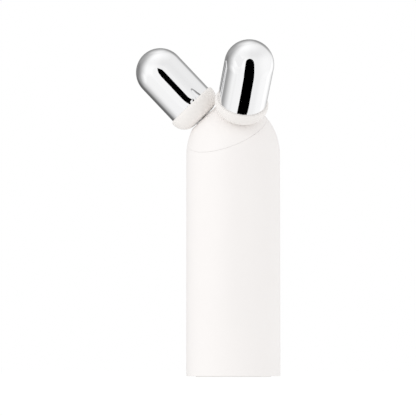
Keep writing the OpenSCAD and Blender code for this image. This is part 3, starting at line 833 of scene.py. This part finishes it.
def button(name, body, node, z, radius, material):
    """A button whose face follows the handle, with a shallow finger dish."""
    turns = [FULL_TURN * j / BUTTON_TURNS for j in range(BUTTON_TURNS)]
    face_r = radius - BUTTON_EDGE_ROUNDING
    flange_r = radius + FLANGE_MARGIN

    def spot(out, turn, y):
        return Vector((out * sin(turn), y, z + out * cos(turn)))

    def on_face(out, turn):
        x = out * sin(turn)
        wall = sqrt(HANDLE_R ** 2 - x * x)
        dish = HANDLE_R + DISH_R - DISH_DEPTH - sqrt(DISH_R ** 2 - out ** 2)
        return spot(out, turn, soft_least(wall, dish, DISH_BLEND))

    def on_rim(turn, t):
        corner = on_face(radius, turn)
        return rounded_spot(on_face(face_r, turn), corner, corner - Vector((0, BUTTON_EDGE_ROUNDING, 0)), t)

    rows = []
    for i in range(BUTTON_RINGS + 1):
        out = face_r * (i / BUTTON_RINGS) ** BUTTON_RING_SPREAD
        rows.append([on_face(out, turn) for turn in turns])
    for i in range(BUTTON_EDGE_STEPS):
        rows.append([on_rim(turn, (i + 1) / BUTTON_EDGE_STEPS) for turn in turns])
    behind = ((radius, SKIRT_Y), (flange_r, SKIRT_Y), (flange_r, FLANGE_Y),
              (STEM_R, FLANGE_Y), (STEM_R, STEM_Y), (0.0, STEM_Y))
    for out, y in behind:
        rows.append([spot(out, turn, y) for turn in turns])
    points = [point for row in rows for point in row]
    faces = ring_faces(len(rows), BUTTON_TURNS)
    piece_from_points(name, points, faces, material, body, node)


def foot_ring(material):
    """The rubber ring that the handle stands on, with two fine grooves."""
    corners = [(FOOT_INNER_R, 0, RUBBER)]
    for groove_r in GROOVE_RS:
        corners.append((groove_r - GROOVE_HALF_W, 0, FINE))
        corners.append((groove_r, GROOVE_DEPTH, FINE))
        corners.append((groove_r + GROOVE_HALF_W, 0, FINE))
    corners += [(FOOT_OUTER_R, 0, RUBBER), (FOOT_OUTER_R, FOOT_T, FINE), (FOOT_INNER_R, FOOT_T, FINE)]
    mesh = turned_mesh("rubber_foot", rounded_outline(corners), Matrix.Identity(4), material)
    finished_piece("rubber_foot", mesh, "body", "foot_ring")


# ---- Finishes

WHITE = (1.0, 1.0, 1.0, 1.0)

# How densely ground lines follow each other along each axis
LINE_STRETCH = (4000.0, 4000.0, 120.0)

# How deep each kind of relief goes, in metres, and how worn edges differ from the rest
MOULD_RELIEF = 0.0001
METAL_RELIEF = 0.00005
METAL_BUMP = 0.05
PLATING_RELIEF = 0.00002
PLATING_BUMP = 0.004
MOULD_WEAR = 0.3
MOULD_WORN_GAIN = 1.04
MOULD_WORN_LIFT = 0.02
METAL_WEAR = 0.6
METAL_WORN_GAIN = 1.15


def shader_group(name, inputs, outputs):
    """An empty shader group with named inputs and outputs."""
    tree = bpy.data.node_groups.new(name, "ShaderNodeTree")
    for label, kind, value in inputs:
        socket = tree.interface.new_socket(name=label, in_out="INPUT", socket_type=kind)
        socket.default_value = value
    for label, kind in outputs:
        tree.interface.new_socket(name=label, in_out="OUTPUT", socket_type=kind)
    return tree, tree.nodes.new("NodeGroupInput"), tree.nodes.new("NodeGroupOutput")


def grain_group():
    """Fine mould grain: a height and a slow mottling mask."""
    tree, start, end = shader_group(
        "Mould Grain",
        [("Grain Size", "NodeSocketFloat", 2500.0), ("Mottling Size", "NodeSocketFloat", 60.0)],
        [("Height", "NodeSocketFloat"), ("Mottling", "NodeSocketFloat")])
    place = linked(tree, "ShaderNodeTexCoord", {})
    fine = linked(tree, "ShaderNodeTexNoise",
                  {"Vector": place.outputs["Object"], "Scale": start.outputs["Grain Size"],
                   "Detail": 3.0, "Roughness": 0.6})
    slow = linked(tree, "ShaderNodeTexNoise",
                  {"Vector": place.outputs["Object"], "Scale": start.outputs["Mottling Size"],
                   "Detail": 4.0, "Roughness": 0.55})
    spread = linked(tree, "ShaderNodeMapRange",
                    {"Value": slow.outputs["Fac"], "From Min": 0.3, "From Max": 0.7})
    tree.links.new(fine.outputs["Fac"], end.inputs["Height"])
    tree.links.new(spread.outputs["Result"], end.inputs["Mottling"])
    return tree


def wear_group():
    """Handling wear: a mask on outside edges, broken up by noise."""
    tree, start, end = shader_group(
        "Edge Wear",
        [("Amount", "NodeSocketFloat", 0.5), ("Break Up Size", "NodeSocketFloat", 400.0)],
        [("Wear", "NodeSocketFloat")])
    shape = linked(tree, "ShaderNodeNewGeometry", {})
    edges = linked(tree, "ShaderNodeMapRange",
                   {"Value": shape.outputs["Pointiness"], "From Min": 0.52, "From Max": 0.62})
    place = linked(tree, "ShaderNodeTexCoord", {})
    broken = linked(tree, "ShaderNodeTexNoise",
                    {"Vector": place.outputs["Object"], "Scale": start.outputs["Break Up Size"],
                     "Detail": 4.0})
    mixed = math_value(tree, "MULTIPLY", edges.outputs["Result"], broken.outputs["Fac"])
    scaled = linked(tree, "ShaderNodeMath", {0: mixed, 1: start.outputs["Amount"]},
                    operation="MULTIPLY", use_clamp=True)
    tree.links.new(scaled.outputs["Value"], end.inputs["Wear"])
    return tree


def lines_group():
    """Fine lines left by grinding or drawing, along one direction."""
    tree, start, end = shader_group(
        "Ground Lines",
        [("Stretch", "NodeSocketVector", LINE_STRETCH)],
        [("Height", "NodeSocketFloat"), ("Shade", "NodeSocketFloat")])
    place = linked(tree, "ShaderNodeTexCoord", {})
    drawn = linked(tree, "ShaderNodeVectorMath",
                   {0: place.outputs["Object"], 1: start.outputs["Stretch"]}, operation="MULTIPLY")
    noise = linked(tree, "ShaderNodeTexNoise",
                   {"Vector": drawn.outputs["Vector"], "Scale": 1.0, "Detail": 3.0})
    tree.links.new(noise.outputs["Fac"], end.inputs["Height"])
    tree.links.new(noise.outputs["Fac"], end.inputs["Shade"])
    return tree


# The sockets of a colour Mix node, which shares its sockets' names with the node's other kinds
MIX_FACTOR = 0
MIX_FIRST = 6
MIX_SECOND = 7
MIX_RESULT = 2

GRAIN = grain_group()
WEAR = wear_group()
LINES = lines_group()


def use_group(tree, group, values):
    """Places a shader group in a material, with its own values."""
    return linked(tree, "ShaderNodeGroup", values, node_tree=group)


def mix_colors(tree, factor, first, second):
    """A colour between two colours, of which the first may be a socket."""
    if not isinstance(first, bpy.types.NodeSocket):
        first = (*first, 1)
    links = {MIX_FACTOR: factor, MIX_FIRST: first, MIX_SECOND: (*second, 1)}
    return linked(tree, "ShaderNodeMix", links, data_type="RGBA").outputs[MIX_RESULT]


def finished_material(name, texture, colors, worn, roughness, relief, metallic=0.0):
    """A material whose texture varies its colour and roughness and tilts its normals.

    The texture is a shader group, its own values, and the name of its shade; worn is an amount
    and a colour for worn edges; relief is a strength and a depth.
    """
    group, values, shade = texture
    material = bpy.data.materials.new(name)
    material.use_nodes = True
    tree = material.node_tree
    shader = tree.nodes["Principled BSDF"]
    marks = use_group(tree, group, values).outputs
    tone = mix_colors(tree, marks[shade], *colors)
    if worn:
        edges = use_group(tree, WEAR, {"Amount": worn[0]})
        tone = mix_colors(tree, edges.outputs["Wear"], tone, worn[1])
    tree.links.new(tone, shader.inputs["Base Color"])
    rough = linked(tree, "ShaderNodeMapRange",
                   {"Value": marks[shade], "To Min": roughness[0], "To Max": roughness[1]})
    tree.links.new(rough.outputs["Result"], shader.inputs["Roughness"])
    bump = linked(tree, "ShaderNodeBump",
                  {"Height": marks["Height"], "Strength": relief[0], "Distance": relief[1]})
    tree.links.new(bump.outputs["Normal"], shader.inputs["Normal"])
    shader.inputs["Metallic"].default_value = metallic
    return material


def moulding(name, color, other, rough_low, rough_high, grain=2500.0, bump=0.06):
    """Moulded polymer or rubber: mottled colour, grain in its bump, paler worn edges."""
    paler = [min(1, c * MOULD_WORN_GAIN + MOULD_WORN_LIFT) for c in color]
    return finished_material(name, (GRAIN, {"Grain Size": grain}, "Mottling"), (color, other),
                             (MOULD_WEAR, paler), (rough_low, rough_high), (bump, MOULD_RELIEF))


def metal(name, color, other, rough_low, rough_high):
    """Ground or drawn metal with fine lines and brighter worn edges."""
    brighter = [min(1, c * METAL_WORN_GAIN) for c in color]
    return finished_material(name, (LINES, {"Stretch": LINE_STRETCH}, "Shade"), (color, other),
                             (METAL_WEAR, brighter), (rough_low, rough_high),
                             (METAL_BUMP, METAL_RELIEF), metallic=1.0)


def mirror_plating(name):
    """Mirror-polished plating with barely visible wipe marks."""
    marks = (GRAIN, {"Grain Size": 900.0, "Mottling Size": 120.0}, "Mottling")
    colors = ((0.955, 0.955, 0.96), (0.95, 0.95, 0.956))
    return finished_material(name, marks, colors, None, (0.03, 0.05),
                             (PLATING_BUMP, PLATING_RELIEF), metallic=1.0)


FINISHES = {
    "shell_white": moulding("shell satin white", (0.93, 0.903, 0.888), (0.922, 0.894, 0.878), 0.46, 0.54),
    "cup_white": moulding("cup satin white", (0.902, 0.873, 0.847), (0.892, 0.863, 0.837), 0.44, 0.52),
    "roller_chrome": mirror_plating("mirror chrome"),
    "axle_steel": metal("ground steel", (0.62, 0.62, 0.63), (0.55, 0.55, 0.56), 0.2, 0.32),
    "fastener_steel": metal("zinc-plated steel", (0.52, 0.52, 0.54), (0.44, 0.45, 0.47), 0.3, 0.42),
    "bracket_metal": moulding("cast metal", (0.5, 0.5, 0.51), (0.42, 0.42, 0.43), 0.45, 0.6, 1200.0, 0.3),
    "contact_brass": metal("plated brass", (0.78, 0.62, 0.3), (0.7, 0.52, 0.24), 0.2, 0.32),
    "bush_polymer": moulding("bearing polymer", (0.7, 0.6, 0.42), (0.62, 0.52, 0.35), 0.4, 0.5),
    "seal_rubber": moulding("seal rubber", (0.05, 0.05, 0.052), (0.035, 0.035, 0.037), 0.55, 0.7),
    "gasket_rubber": moulding("gasket rubber", (0.8, 0.79, 0.77), (0.76, 0.75, 0.73), 0.6, 0.7),
    "foot_rubber": moulding("foot rubber", (0.8, 0.785, 0.765), (0.75, 0.735, 0.715), 0.6, 0.75,
                            1500.0, 0.25),
    "chassis_plastic": moulding("glass-filled chassis", (0.06, 0.065, 0.07), (0.045, 0.05, 0.055), 0.4, 0.6),
    "cell_sleeve": moulding("cell sleeve", (0.1, 0.3, 0.5), (0.08, 0.26, 0.45), 0.2, 0.3),
    "pad_foam": moulding("closed-cell foam", (0.1, 0.1, 0.105), (0.06, 0.06, 0.065), 0.8, 0.95, 900.0, 0.6),
    "board_green": moulding("solder mask", (0.03, 0.18, 0.08), (0.02, 0.13, 0.06), 0.25, 0.4, 700.0, 0.1),
    "chip_black": moulding("moulded epoxy", (0.03, 0.03, 0.032), (0.02, 0.02, 0.022), 0.45, 0.6),
    "coil_copper": metal("enamelled copper", (0.62, 0.32, 0.16), (0.5, 0.24, 0.1), 0.25, 0.4),
    "capacitor_sleeve": moulding("capacitor sleeve", (0.04, 0.06, 0.2), (0.03, 0.04, 0.15), 0.25, 0.35),
    "light_white": moulding("lamp body", (0.85, 0.85, 0.78), (0.8, 0.8, 0.72), 0.3, 0.4),
    "guide_clear": moulding("frosted light guide", (0.85, 0.88, 0.9), (0.8, 0.83, 0.86), 0.3, 0.45),
    "lead_red": moulding("wire insulation", (0.5, 0.04, 0.035), (0.42, 0.03, 0.03), 0.35, 0.45),
    "button_white": moulding("button satin white", (0.91, 0.885, 0.868), (0.9, 0.873, 0.855), 0.42, 0.5),
    "socket_steel": metal("drawn steel", (0.66, 0.66, 0.67), (0.58, 0.58, 0.6), 0.2, 0.3),
    "flex_amber": moulding("circuit film", (0.55, 0.28, 0.06), (0.48, 0.23, 0.05), 0.25, 0.4),
}


def dress_solids():
    """Gives every solid of the frame the finish of its slot."""
    slots = {part["node"]: part["material_slot"] for part in frame["record"]["subparts"]}
    for name, item in frame["nodes"].items():
        item.data.materials.clear()
        item.data.materials.append(FINISHES[slots[name]])


# ---- Stage

CAMERA_AZIMUTH = radians(36)
CAMERA_ELEVATION = radians(-3.9)
CAMERA_DISTANCE = 1065.7
PIXELS_PER_MM = 2.232
FRAME_PIXELS = 416
AIM_RIGHT = -11.305
AIM_UP = 75.491
SENSOR = 36.0
CLIP_START = 0.01
CLIP_END = 50
WORLD_LEVEL = 0.95
FLOOR_LEVEL = 0.97
FLOOR_GLOW = 0.7
FLOOR_SHADE = 0.33
SOFTBOX_ENERGY = 1.15
SOFTBOX_SIZE = 0.6
SOFTBOX_RIGHT = -700
SOFTBOX_UP = 500
SOFTBOX_FRONT = 500
SOFTBOX_TARGET = Vector((0, 0, 0.08))
FLOOR_REACH = 3000
FLOOR_DROP = -0.02
BLACK_CARD_LEVEL = 0.0
LOWER_CARD_LEVEL = 0.97
UPPER_CARD_LEVEL = 0.92

# Studio cards' edges, in millimetres to the right of, above and in front of the aim point; the lower and
# upper card stand upright at one distance in front
CARD_FRONT = 48.5
FLAG_LEFT = [(9.5, 149.5, 252.5), (-13, 141, 253.5), (-29.5, 128.5, 254.5), (-40, 109.5, 253.5),
             (-47, 82, 250.5), (-50.5, 46.5, 242.5), (-53, 14.5, 227.5), (-47.5, -31.5, 175),
             (-39, -52, 115), (-24, -42.5, 65), (-22, -45, 59), (-22.5, -51.5, 41.5)]
FLAG_RIGHT = [(44, 149, 251), (64, 141, 251), (80.5, 128, 251), (92.5, 109, 248.5),
              (100.5, 82.5, 244.5), (103.5, 47.5, 236.5), (100.5, 15.5, 223), (87.5, -30.5, 174.5),
              (71.5, -52, 117.5), (53, -45.5, 63.5), (49.5, -51, 41.5), (42.5, -56, 33)]
LOWER_CARD_EDGE = [(-33, 84.5), (-30, 65.5), (-27, 56.5), (-27, 53.5), (-17.5, 42.5), (-6, 41.5)]
LOWER_CARD_END = [(-53, 68.5), (-50, 49.5), (-47, 40.5), (-47, 37.5), (-37.5, 26.5), (-26, 25.5)]
UPPER_CARD_EDGE = [(-32, 75), (-12.5, 68), (-1.5, 56), (1, 57), (5, 57.5), (-4, 48)]
UPPER_CARD_END = [(-22, 88), (-2.5, 81), (8.5, 69), (12.5, 70.5), (-0.5, 44), (-1, 39.5)]
DARK_CARD_EDGE = [(-53, 90.5, 84), (-52.5, 76.5, 89), (-49, 63.5, 89), (-38.5, 46, 76), (-33, 41, 73.5)]
DARK_CARD_END = [(-21.5, 80, 59), (-21, 71, 61.5), (-19.5, 63.5, 62), (-22.5, 57.5, 62.5), (-18, 53.5, 60)]

# Levels of the room that polished metal mirrors: from behind to the front, left to right, and up
DEPTH_STOPS = [(-1.17, 0.26), (-1.05, 0.32), (-0.9, 0.39), (-0.6, 0.7), (-0.42, 0.88), (-0.22, 1.0)]
SIDE_STOPS = [(-0.5, 1.03), (-0.2, 0.98), (0.15, 0.905), (0.6, 0.905), (0.98, 0.99)]
HEIGHT_STOPS = [(0.3, 1.0), (0.62, 0.93), (0.8, 0.96), (0.9, 1.02), (1.0, 1.1)]
STOP_LIMIT = 1.2
DEPTH_PER_RIGHT = 0.6
DEPTH_PER_UP = -0.12

# Patches of that room: direction (right, up, front), where each starts and is full, and its level
ROOM_PATCHES = [((0.36, 0.5, -0.79), 0.95, 0.992, 0.62),
                ((0.5, -0.15, -0.85), 0.85, 0.97, 1.22),
                ((-0.42, -0.34, -0.84), 0.9, 0.99, 0.44),
                ((-0.78, 0.11, -0.62), 0.955, 0.985, 0.8),
                ((-0.14, 0.82, -0.55), 0.93, 0.99, 1.3),
                ((-0.5, 0.6, -0.6), 0.92, 0.98, 1.18),
                ((-0.66, -0.6, 0.42), 0.85, 0.96, 0.92),
                ((0.7, -0.6, -0.35), 0.9, 0.98, 1.06),
                ((-0.95, -0.33, -0.1), 0.93, 0.98, 1.17)]

# The same for light that has met metal twice, which is past this depth
ECHO_DEPTH = 1.5
ECHO_PATCHES = [((0.4, 0.88, 0.25), 0.76, 0.96, 0.25),
                ((-0.93, -0.28, 0.24), 0.65, 0.95, 0.66)]


def camera_axes():
    """The camera's directions to the right, up and back."""
    right = Vector((cos(CAMERA_AZIMUTH), sin(CAMERA_AZIMUTH), 0))
    back = Vector((sin(CAMERA_AZIMUTH) * cos(CAMERA_ELEVATION),
                   -cos(CAMERA_AZIMUTH) * cos(CAMERA_ELEVATION), sin(CAMERA_ELEVATION)))
    return right, back.cross(right), back


def set_camera():
    """The one camera, a little below the part and to the right of its front."""
    right, up, back = camera_axes()
    data = bpy.data.cameras.new("camera")
    data.sensor_width = SENSOR
    data.lens = SENSOR * CAMERA_DISTANCE * PIXELS_PER_MM / FRAME_PIXELS
    data.clip_start = CLIP_START
    data.clip_end = CLIP_END
    camera = bpy.data.objects.new("camera", data)
    eye = (right * AIM_RIGHT + Vector((0, 0, AIM_UP)) + back * CAMERA_DISTANCE) * MM
    turn = Matrix((right, up, back)).transposed().to_4x4()
    camera.matrix_world = Matrix.Translation(eye) @ turn
    bpy.context.scene.collection.objects.link(camera)
    bpy.context.scene.camera = camera


def axis_share(tree, direction, axis):
    """How far a direction points along an axis, from -1 to 1."""
    node = linked(tree, "ShaderNodeVectorMath", {0: direction, 1: tuple(axis)}, operation="DOT_PRODUCT")
    return node.outputs["Value"]


def ramp(tree, value, stops):
    """A grey level from a value, through (value, level) stops."""
    scaled = linked(tree, "ShaderNodeMapRange",
                    {"Value": value, "From Min": -STOP_LIMIT, "From Max": STOP_LIMIT})
    node = tree.nodes.new("ShaderNodeValToRGB")
    node.color_ramp.interpolation = "LINEAR"
    elements = node.color_ramp.elements
    while len(elements) < len(stops):
        elements.new(0.5)
    for element, (at, level) in zip(elements, stops):
        element.position = (at + STOP_LIMIT) / (2 * STOP_LIMIT)
        element.color = (level, level, level, 1)
    tree.links.new(scaled.outputs["Result"], node.inputs["Fac"])
    return node.outputs["Color"]


def room_levels(tree):
    """What polished metal sees round it: a bright left side, a softer right, and dusk behind."""
    right, up, back = camera_axes()
    place = linked(tree, "ShaderNodeTexCoord", {})
    direction = place.outputs["Generated"]
    to_right = axis_share(tree, direction, right)
    to_top = axis_share(tree, direction, up)
    to_front = axis_share(tree, direction, back)
    lean = math_value(tree, "MULTIPLY_ADD", to_right, DEPTH_PER_RIGHT, to_front)
    depth = math_value(tree, "MULTIPLY_ADD", to_top, DEPTH_PER_UP, lean)
    behind = ramp(tree, depth, DEPTH_STOPS)
    sides = ramp(tree, to_right, SIDE_STOPS)
    top = ramp(tree, to_top, HEIGHT_STOPS)
    level = math_value(tree, "MULTIPLY", math_value(tree, "MULTIPLY", behind, sides), top)
    path = tree.nodes.new("ShaderNodeLightPath")
    twice = math_value(tree, "GREATER_THAN", path.outputs["Glossy Depth"], ECHO_DEPTH)
    for patches, share in ((ROOM_PATCHES, 1.0), (ECHO_PATCHES, twice)):
        for (x, y, z), start, end, factor in patches:
            axis = (right * x + up * y + back * z).normalized()
            patch = linked(tree, "ShaderNodeMapRange",
                           {"Value": axis_share(tree, direction, axis), "From Min": start, "From Max": end,
                            "To Min": 0.0, "To Max": factor - 1})
            change = math_value(tree, "MULTIPLY_ADD", patch.outputs["Result"], share, 1.0)
            level = math_value(tree, "MULTIPLY", level, change)
    return level


def set_world():
    """White for the camera, shaped levels for reflections, and an even light for the rest."""
    world = bpy.data.worlds.new("studio")
    world.use_nodes = True
    tree = world.node_tree
    tree.nodes.clear()
    out = tree.nodes.new("ShaderNodeOutputWorld")
    path = tree.nodes.new("ShaderNodeLightPath")
    seen = linked(tree, "ShaderNodeBackground", {"Color": WHITE, "Strength": 1.0})
    mirrored = linked(tree, "ShaderNodeBackground", {"Color": WHITE, "Strength": room_levels(tree)})
    around = linked(tree, "ShaderNodeBackground", {"Color": WHITE, "Strength": WORLD_LEVEL})
    first = linked(tree, "ShaderNodeMixShader",
                   {0: path.outputs["Is Glossy Ray"], 1: around.outputs["Background"],
                    2: mirrored.outputs["Background"]})
    second = linked(tree, "ShaderNodeMixShader",
                    {0: path.outputs["Is Camera Ray"], 1: first.outputs["Shader"],
                     2: seen.outputs["Background"]})
    tree.links.new(second.outputs["Shader"], out.inputs["Surface"])
    bpy.context.scene.world = world


def stage_mesh(name, points, faces, material):
    """A piece of the studio, which isn't part of the object."""
    mesh = bpy.data.meshes.new(name)
    mesh.from_pydata([Vector(p) * MM for p in points], [], faces)
    mesh.materials.append(material)
    item = bpy.data.objects.new(name, mesh)
    bpy.context.scene.collection.objects.link(item)
    return item


def stage_material(name):
    """An empty material for a piece of the studio."""
    material = bpy.data.materials.new(name)
    material.use_nodes = True
    material.node_tree.nodes.clear()
    return material, material.node_tree


def finish_stage(tree, surface):
    """Ends a studio material with its surface."""
    out = tree.nodes.new("ShaderNodeOutputMaterial")
    tree.links.new(surface, out.inputs["Surface"])


def set_floor():
    """A white floor that keeps a soft shadow, and lights the part as evenly as the room does."""
    material, tree = stage_material("white floor")
    path = tree.nodes.new("ShaderNodeLightPath")
    around = linked(tree, "ShaderNodeEmission", {"Color": WHITE, "Strength": FLOOR_LEVEL})
    glow = linked(tree, "ShaderNodeEmission", {"Color": WHITE, "Strength": FLOOR_GLOW})
    shade = linked(tree, "ShaderNodeBsdfDiffuse", {"Color": (FLOOR_SHADE, FLOOR_SHADE, FLOOR_SHADE, 1)})
    seen = linked(tree, "ShaderNodeAddShader", {0: glow.outputs["Emission"], 1: shade.outputs["BSDF"]})
    mixed = linked(tree, "ShaderNodeMixShader",
                   {0: path.outputs["Is Camera Ray"], 1: around.outputs["Emission"],
                    2: seen.outputs["Shader"]})
    finish_stage(tree, mixed.outputs["Shader"])
    quarters = ((-1, -1), (1, -1), (1, 1), (-1, 1))
    corners = [(x * FLOOR_REACH, y * FLOOR_REACH, FLOOR_DROP) for x, y in quarters]
    floor = stage_mesh("floor", corners, [(0, 1, 2, 3)], material)
    floor.visible_glossy = False


def card(name, level, low_edge, high_edge):
    """A studio card between two edges, seen only in reflections."""
    material, tree = stage_material(name)
    glow = linked(tree, "ShaderNodeEmission", {"Color": (level, level, level, 1), "Strength": 1.0})
    finish_stage(tree, glow.outputs["Emission"])
    count = len(low_edge)
    faces = [(i, i + 1, count + i + 1, count + i) for i in range(count - 1)]
    item = stage_mesh(name, low_edge + high_edge, faces, material)
    for rays in ("camera", "diffuse", "shadow", "transmission"):
        setattr(item, "visible_" + rays, False)


def set_cards():
    """A black flag in front of the rollers, and cards that trim and lengthen it for the left one."""
    right, up, back = camera_axes()
    middle = right * AIM_RIGHT + Vector((0, 0, AIM_UP))

    def placed(edge):
        return [middle + right * x + up * y + back * z for x, y, z in edge]

    def upright(edge):
        return [(x, y, CARD_FRONT) for x, y in edge]

    cards = (("black flag", BLACK_CARD_LEVEL, FLAG_LEFT, FLAG_RIGHT),
             ("lower white card", LOWER_CARD_LEVEL, upright(LOWER_CARD_EDGE), upright(LOWER_CARD_END)),
             ("upper white card", UPPER_CARD_LEVEL, upright(UPPER_CARD_EDGE), upright(UPPER_CARD_END)),
             ("dark card", BLACK_CARD_LEVEL, DARK_CARD_EDGE, DARK_CARD_END))
    for name, level, low_edge, high_edge in cards:
        card(name, level, placed(low_edge), placed(high_edge))


def set_lamps():
    """One round softbox on the left, which the polished metal doesn't mirror."""
    right, _, back = camera_axes()
    data = bpy.data.lights.new("left softbox", "AREA")
    data.shape = "DISK"
    data.size = SOFTBOX_SIZE
    data.energy = SOFTBOX_ENERGY
    lamp = bpy.data.objects.new("left softbox", data)
    spot = (right * SOFTBOX_RIGHT + Vector((0, 0, SOFTBOX_UP)) + back * SOFTBOX_FRONT) * MM
    lamp.location = spot
    lamp.rotation_euler = (SOFTBOX_TARGET - spot).to_track_quat("-Z", "Y").to_euler()
    lamp.visible_glossy = False
    bpy.context.scene.collection.objects.link(lamp)


def build():
    """The studio, then the finishes of all solids, then the pieces made anew."""
    set_camera()
    bpy.context.scene.view_settings.view_transform = "Standard"
    set_world()
    set_floor()
    set_lamps()
    set_cards()
    dress_solids()
    handle_shell(FINISHES["shell_white"])
    head_cap(FINISHES["shell_white"])
    for side in (-1, 1):
        roller_cup(side, FINISHES["cup_white"])
        roller_cap(side, FINISHES["roller_chrome"])
    button("power_key_face", "power_key", "power_button", POWER_Z, POWER_R, FINISHES["button_white"])
    button("mode_key_face", "mode_key", "mode_button", MODE_Z, MODE_R, FINISHES["button_white"])
    foot_ring(FINISHES["foot_rubber"])


build()
